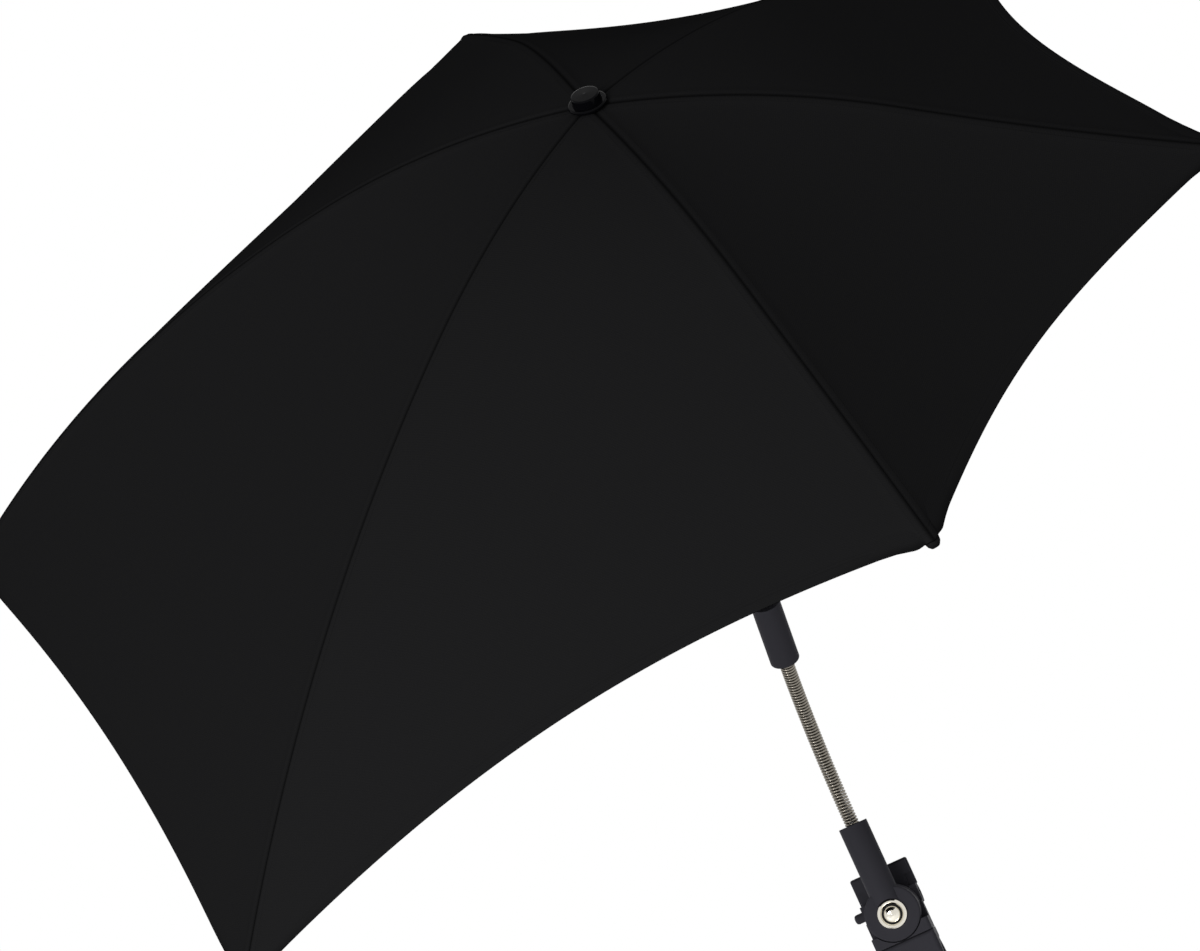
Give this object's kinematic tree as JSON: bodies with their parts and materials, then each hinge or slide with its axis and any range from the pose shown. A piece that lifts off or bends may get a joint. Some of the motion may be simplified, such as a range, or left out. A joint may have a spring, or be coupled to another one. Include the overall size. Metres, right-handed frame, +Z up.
{
  "type": "pram parasol",
  "caption": "Off-centre cloth parasol on folding ribs, with a shaft, a bendable wound-wire neck and a sprung clip for a pram's frame tube.",
  "frame": {"origin": "centre of the clip's bore for the pram's tube", "axes": "+X along the pram's tube, -Y to the front of the clip where the pivot bolt shows, +Z up the neck socket"},
  "size_m": [0.7883, 0.5411, 0.6564],
  "materials": {
    "canopy_cloth": "tight woven black polyester",
    "black_plastic": "satin moulded black",
    "gloss_black_plastic": "polished black",
    "rib_steel": "black painted steel",
    "shaft_metal": "black painted steel tube",
    "plain_steel": "plain steel",
    "neck_nickel": "nickel plated wire",
    "bright_nickel": "bright nickel",
    "jaw_rubber": "matt rubber"
  },
  "bodies": {
    "clip": {"clip_bracket": "black_plastic", "front_jaw": "black_plastic", "front_pad": "jaw_rubber", "jaw_screws": "plain_steel", "jaw_pin": "black_plastic", "jaw_spring": "plain_steel", "pivot_bolt": "bright_nickel", "pivot_ring": "bright_nickel", "pivot_washer": "jaw_rubber", "pivot_nut": "plain_steel"},
    "rear_clip": {"rear_jaw": "black_plastic", "rear_pad": "jaw_rubber"},
    "knuckle": {"neck_knuckle": "black_plastic"},
    "neck": {"gooseneck_spring": "neck_nickel", "gooseneck_core": "plain_steel"},
    "shaft": {"neck_sleeve": "black_plastic", "shaft_tube": "shaft_metal", "crown_hub": "black_plastic", "crown_pins": "plain_steel", "finial_cap": "gloss_black_plastic"},
    "catch": {"open_catch": "plain_steel"},
    "runner": {"runner": "black_plastic", "runner_pins": "plain_steel"},
    "rib_1": {"rib_1": "rib_steel", "rib_tip_1": "black_plastic", "canopy_gore_1": "canopy_cloth"},
    "stretcher_1": {"stretcher_1": "rib_steel", "stretcher_rivets_1": "bright_nickel"},
    "rib_2": {"rib_2": "rib_steel", "rib_tip_2": "black_plastic", "canopy_gore_2": "canopy_cloth"},
    "stretcher_2": {"stretcher_2": "rib_steel", "stretcher_rivets_2": "bright_nickel"},
    "rib_3": {"rib_3": "rib_steel", "rib_tip_3": "black_plastic", "canopy_gore_3": "canopy_cloth"},
    "stretcher_3": {"stretcher_3": "rib_steel", "stretcher_rivets_3": "bright_nickel"},
    "rib_4": {"rib_4": "rib_steel", "rib_tip_4": "black_plastic", "canopy_gore_4": "canopy_cloth"},
    "stretcher_4": {"stretcher_4": "rib_steel", "stretcher_rivets_4": "bright_nickel"},
    "rib_5": {"rib_5": "rib_steel", "rib_tip_5": "black_plastic", "canopy_gore_5": "canopy_cloth"},
    "stretcher_5": {"stretcher_5": "rib_steel", "stretcher_rivets_5": "bright_nickel"},
    "rib_6": {"rib_6": "rib_steel", "rib_tip_6": "black_plastic", "canopy_gore_6": "canopy_cloth"},
    "stretcher_6": {"stretcher_6": "rib_steel", "stretcher_rivets_6": "bright_nickel"}
  },
  "joints": [
    {"name": "jaw_open", "type": "hinge", "parent": "clip", "child": "rear_clip", "pos_m": [0, 0.005, 0.0446], "axis": [1, 0, 0], "range_deg": [0, 30], "stiffness_Nm_per_rad": 0.8, "springref_deg": -20.05, "deforming": ["jaw_spring"]},
    {"name": "clip_pivot", "type": "hinge", "parent": "clip", "child": "knuckle", "pos_m": [0, -0.015, 0.04], "axis": [0, 1, 0], "range_deg": [-65, 65]},
    {"name": "neck_tilt", "type": "hinge", "parent": "knuckle", "child": "neck", "pos_m": [0.00049, -0.01719, 0.12613], "axis": [0.9763, 0.2164, 0], "range_deg": [-70, 25], "deforming": ["gooseneck_spring", "gooseneck_core"]},
    {"name": "neck_sway", "type": "hinge", "parent": "neck", "child": "shaft", "pos_m": [0.0043, -0.03439, 0.17956], "axis": [0.1922, -0.867, -0.4598], "range_deg": [-45, 45], "deforming": ["gooseneck_spring", "gooseneck_core"]},
    {"name": "catch_press", "type": "slide", "parent": "shaft", "child": "catch", "axis": [0.9618, 0.2707, 0.0415], "range_m": [0, 0.0028], "stiffness_N_per_m": 900, "springref_m": -0.002},
    {"name": "runner_slide", "type": "slide", "parent": "shaft", "child": "runner", "axis": [0.1287, -0.5807, 0.8039], "range_m": [-0.22257, 0], "deforming": ["canopy_gore_1", "canopy_gore_2", "canopy_gore_3", "canopy_gore_4", "canopy_gore_5", "canopy_gore_6"]},
    {"name": "rib_fold_1", "type": "hinge", "parent": "shaft", "child": "rib_1", "pos_m": [0.05158, -0.2847, 0.51737], "axis": [0.723, -0.4999, -0.4769], "range_deg": [0, 60.01]},
    {"name": "stretcher_swing_1", "type": "hinge", "parent": "runner", "child": "stretcher_1", "pos_m": [0.03871, -0.22663, 0.43699], "axis": [-0.723, 0.4999, 0.4769], "range_deg": [0, 52.9]},
    {"name": "rib_fold_2", "type": "hinge", "parent": "shaft", "child": "rib_2", "pos_m": [0.06132, -0.28579, 0.51503], "axis": [0.9468, 0.3131, 0.0746], "range_deg": [0, 60.01]},
    {"name": "stretcher_swing_2", "type": "hinge", "parent": "runner", "child": "stretcher_2", "pos_m": [0.04844, -0.22772, 0.43464], "axis": [-0.9468, -0.3131, -0.0746], "range_deg": [0, 52.9]},
    {"name": "rib_fold_3", "type": "hinge", "parent": "shaft", "child": "rib_3", "pos_m": [0.06792, -0.27972, 0.51836], "axis": [0.2649, 0.8013, 0.5364], "range_deg": [0, 60.01]},
    {"name": "stretcher_swing_3", "type": "hinge", "parent": "runner", "child": "stretcher_3", "pos_m": [0.05505, -0.22164, 0.43797], "axis": [-0.2649, -0.8013, -0.5364], "range_deg": [0, 52.9]},
    {"name": "rib_fold_4", "type": "hinge", "parent": "shaft", "child": "rib_4", "pos_m": [0.06554, -0.27213, 0.52422], "axis": [-0.6852, 0.5339, 0.4954], "range_deg": [0, 60.01]},
    {"name": "stretcher_swing_4", "type": "hinge", "parent": "runner", "child": "stretcher_4", "pos_m": [0.05266, -0.21406, 0.44383], "axis": [0.6852, -0.5339, -0.4954], "range_deg": [0, 52.9]},
    {"name": "rib_fold_5", "type": "hinge", "parent": "shaft", "child": "rib_5", "pos_m": [0.05649, -0.27046, 0.52688], "axis": [-0.9738, -0.2274, -0.0083], "range_deg": [0, 60.01]},
    {"name": "stretcher_swing_5", "type": "hinge", "parent": "runner", "child": "stretcher_5", "pos_m": [0.04362, -0.21239, 0.44649], "axis": [0.9738, 0.2274, 0.0083], "range_deg": [0, 52.9]},
    {"name": "rib_fold_6", "type": "hinge", "parent": "shaft", "child": "rib_6", "pos_m": [0.04897, -0.27641, 0.52378], "axis": [-0.3162, -0.7923, -0.5217], "range_deg": [0, 60.01]},
    {"name": "stretcher_swing_6", "type": "hinge", "parent": "runner", "child": "stretcher_6", "pos_m": [0.03609, -0.21833, 0.4434], "axis": [0.3162, 0.7923, 0.5217], "range_deg": [0, 52.9]}
  ],
  "couplings": [
    {"joint": "rib_fold_1", "follows": "runner_slide", "rad_per_m": -4.7051},
    {"joint": "stretcher_swing_1", "follows": "runner_slide", "rad_per_m": -4.1475},
    {"joint": "rib_fold_2", "follows": "runner_slide", "rad_per_m": -4.7051},
    {"joint": "stretcher_swing_2", "follows": "runner_slide", "rad_per_m": -4.1475},
    {"joint": "rib_fold_3", "follows": "runner_slide", "rad_per_m": -4.7051},
    {"joint": "stretcher_swing_3", "follows": "runner_slide", "rad_per_m": -4.1475},
    {"joint": "rib_fold_4", "follows": "runner_slide", "rad_per_m": -4.7051},
    {"joint": "stretcher_swing_4", "follows": "runner_slide", "rad_per_m": -4.1475},
    {"joint": "rib_fold_5", "follows": "runner_slide", "rad_per_m": -4.7051},
    {"joint": "stretcher_swing_5", "follows": "runner_slide", "rad_per_m": -4.1475},
    {"joint": "rib_fold_6", "follows": "runner_slide", "rad_per_m": -4.7051},
    {"joint": "stretcher_swing_6", "follows": "runner_slide", "rad_per_m": -4.1475}
  ]
}
